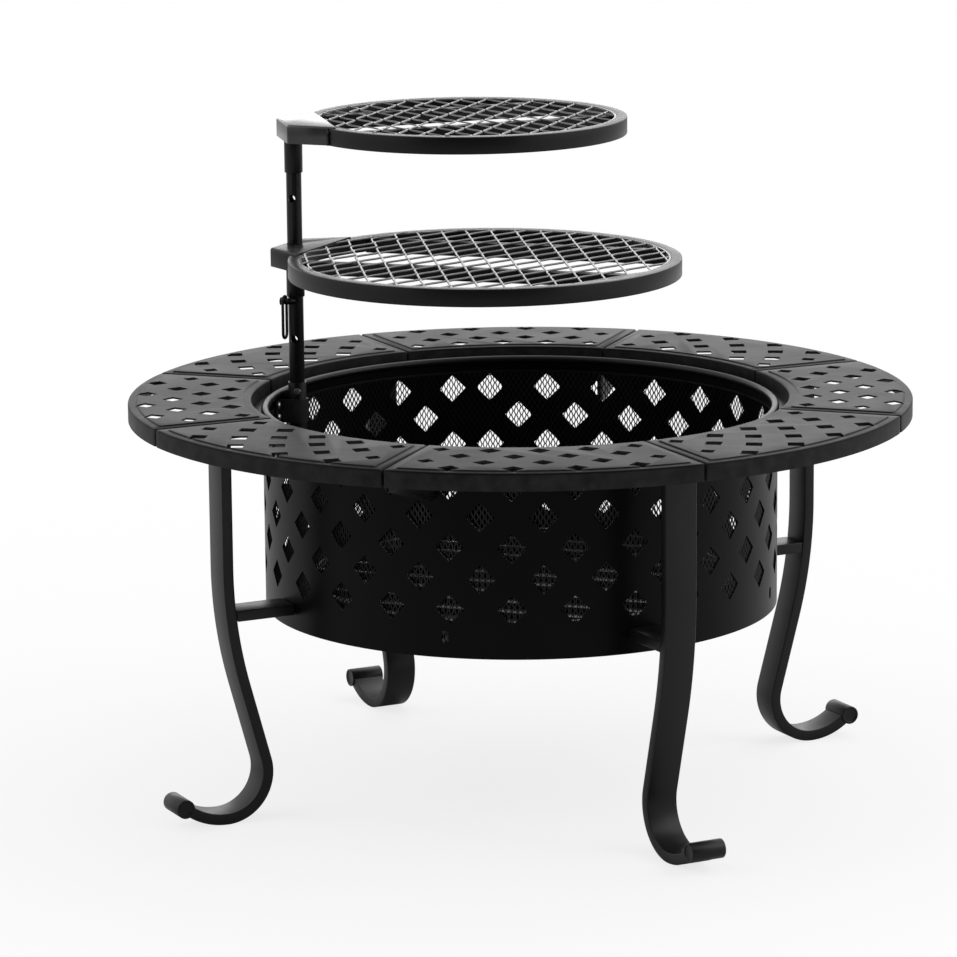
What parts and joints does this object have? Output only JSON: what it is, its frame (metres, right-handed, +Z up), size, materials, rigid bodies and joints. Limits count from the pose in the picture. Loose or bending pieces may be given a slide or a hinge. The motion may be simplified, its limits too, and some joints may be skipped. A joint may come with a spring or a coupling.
{
  "type": "fire pit",
  "caption": "Steel fire pit: a perforated drum with a mesh liner on curled legs, a ring table round it, and two round cooking grates that swing on a pole.",
  "frame": {"origin": "on the drum's axis, at floor height", "axes": "+Z up; the pole stands towards -X; the legs stand at 46, 136, 226 and 316 degrees from +X"},
  "size_m": [0.9144, 0.9144, 0.776],
  "materials": {
    "black_coat": "satin powder coat",
    "table_coat": "satin powder coat",
    "wire_coat": "satin coat on flattened expanded steel",
    "zinc": "dark zinc plate"
  },
  "bodies": {
    "stand": {"table_panel_1": "table_coat", "table_panel_2": "table_coat", "table_panel_3": "table_coat", "table_panel_4": "table_coat", "table_panel_5": "table_coat", "table_panel_6": "table_coat", "table_panel_7": "table_coat", "table_panel_8": "table_coat", "table_ring": "black_coat", "table_bracket_1": "black_coat", "table_bracket_2": "black_coat", "table_bracket_3": "black_coat", "table_bracket_4": "black_coat", "leg_1": "black_coat", "leg_2": "black_coat", "leg_3": "black_coat", "leg_4": "black_coat", "foot_roll_1": "black_coat", "foot_roll_2": "black_coat", "foot_roll_3": "black_coat", "foot_roll_4": "black_coat", "leg_strut_1": "black_coat", "leg_strut_2": "black_coat", "leg_strut_3": "black_coat", "leg_strut_4": "black_coat", "drum_shell": "black_coat", "drum_rim": "black_coat", "mesh_liner": "wire_coat", "base_pan": "black_coat", "pole_socket": "black_coat", "socket_saddle_upper": "black_coat", "socket_saddle_lower": "black_coat", "socket_rivet_1": "zinc", "socket_rivet_2": "zinc", "socket_rivet_3": "zinc", "socket_rivet_4": "zinc", "socket_rivet_5": "zinc", "socket_rivet_6": "zinc", "socket_screw": "zinc"},
    "fire_grate": {"fire_grate": "black_coat"},
    "pole": {"pole": "black_coat"},
    "upper_grate": {"upper_ring": "black_coat", "upper_mesh": "wire_coat", "upper_bar_1": "black_coat", "upper_bar_2": "black_coat", "upper_bracket": "black_coat", "upper_sleeve": "black_coat"},
    "lower_sleeve": {"lower_sleeve": "black_coat"},
    "lower_grate": {"lower_ring": "black_coat", "lower_mesh": "wire_coat", "lower_bar_1": "black_coat", "lower_bar_2": "black_coat", "lower_bracket": "black_coat"},
    "hitch_pin": {"hitch_pin": "black_coat"},
    "pin_ring": {"pin_ring": "black_coat"}
  },
  "joints": [
    {"name": "fire_grate_lift", "type": "slide", "parent": "stand", "child": "fire_grate", "axis": [0, 0, 1], "range_m": [0, 0.2]},
    {"name": "pole_slide", "type": "slide", "parent": "stand", "child": "pole", "axis": [0, 0, 1], "range_m": [-0.065, 0.075]},
    {"name": "upper_grate_swing", "type": "hinge", "parent": "pole", "child": "upper_grate", "pos_m": [-0.28, 0, 0.715], "axis": [0, 0, 1], "continuous": true},
    {"name": "lower_grate_lift", "type": "slide", "parent": "pole", "child": "lower_sleeve", "axis": [0, 0, 1], "range_m": [0, 0.08]},
    {"name": "lower_grate_swing", "type": "hinge", "parent": "lower_sleeve", "child": "lower_grate", "pos_m": [-0.28, 0, 0.6], "axis": [0, 0, 1], "continuous": true},
    {"name": "hitch_pin_slide", "type": "slide", "parent": "pole", "child": "hitch_pin", "axis": [0, -1, 0], "range_m": [0, 0.03]},
    {"name": "pin_ring_swing", "type": "hinge", "parent": "hitch_pin", "child": "pin_ring", "pos_m": [-0.28, -0.0158, 0.563], "axis": [1, 0, 0], "range_deg": [-100, 3]}
  ]
}
